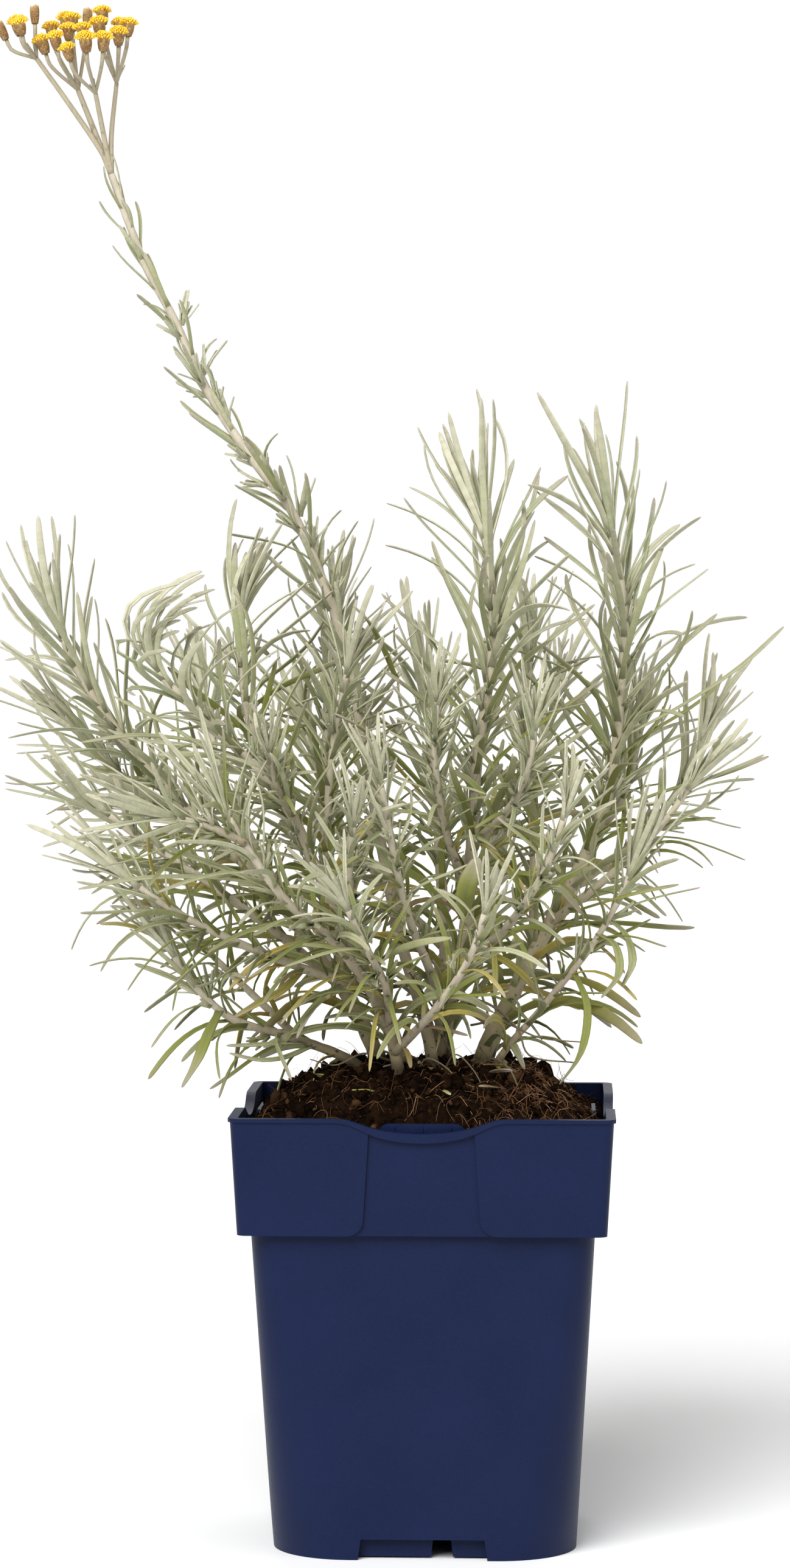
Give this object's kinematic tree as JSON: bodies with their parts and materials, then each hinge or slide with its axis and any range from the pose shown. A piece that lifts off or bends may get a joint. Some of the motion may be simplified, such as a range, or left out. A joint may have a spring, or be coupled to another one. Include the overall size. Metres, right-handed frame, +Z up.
{
  "type": "potted curry plant",
  "caption": "Curry plant (Helichrysum italicum) in a square nursery pot: leafy silver-green shoots and one flower stalk with a yellow corymb.",
  "frame": {"origin": "centre of the pot's foot, on the ground", "axes": "+Z up along the pot's axis; -Y is the front; the flower stalk leans to -X"},
  "size_m": [0.2218, 0.1865, 0.4511],
  "materials": {
    "pot": "satin navy, fine moulded grain",
    "soil": "rough dark peat with brown fibres",
    "shoot": "matt silver-green, finely felted",
    "stem": "grey-brown bark, paler and woolly above",
    "stalk": "matt pale beige-green, finely felted",
    "flower": "matt yellow florets over straw-brown papery bracts"
  },
  "bodies": {
    "root": {"pot": "pot", "potting_soil": "soil", "stem_left_main": "shoot", "stem_centre_main": "shoot", "stem_right_main": "shoot", "stem_front_main": "shoot", "stem_back_main": "shoot", "stem_back_left_main": "shoot", "stem_back_right_main": "shoot", "stem_low_left": "shoot", "stem_low_right": "shoot", "shoot_front_left": "shoot", "shoot_front_low": "shoot", "shoot_front_right": "shoot", "shoot_front_centre": "shoot", "shoot_front_inner": "shoot", "shoot_left_star": "shoot", "shoot_left_upright": "shoot", "shoot_left_middle": "shoot", "shoot_left_back": "shoot", "shoot_left_far": "shoot", "shoot_left_low_back": "shoot", "shoot_middle_left": "shoot", "shoot_middle_back": "shoot", "shoot_centre_star": "shoot", "shoot_right_front": "shoot", "shoot_right_star": "shoot", "shoot_right_inner": "shoot", "shoot_right_side": "shoot", "shoot_right_back": "shoot", "shoot_back_tall": "shoot", "shoot_back_right": "shoot", "shoot_back_left": "shoot", "shoot_back_outer": "shoot", "shoot_back_low": "shoot", "flower_stalk": "stalk", "flower_head_01": "flower", "flower_head_02": "flower", "flower_head_03": "flower", "flower_head_04": "flower", "flower_head_05": "flower", "flower_head_06": "flower", "flower_head_07": "flower", "flower_head_08": "flower", "flower_head_09": "flower", "flower_head_10": "flower", "flower_head_11": "flower", "flower_head_12": "flower", "flower_head_13": "flower", "flower_head_14": "flower", "flower_head_15": "flower", "flower_head_16": "flower", "flower_head_17": "flower", "flower_head_18": "flower", "flower_head_19": "flower", "flower_head_20": "flower"}
  },
  "joints": []
}
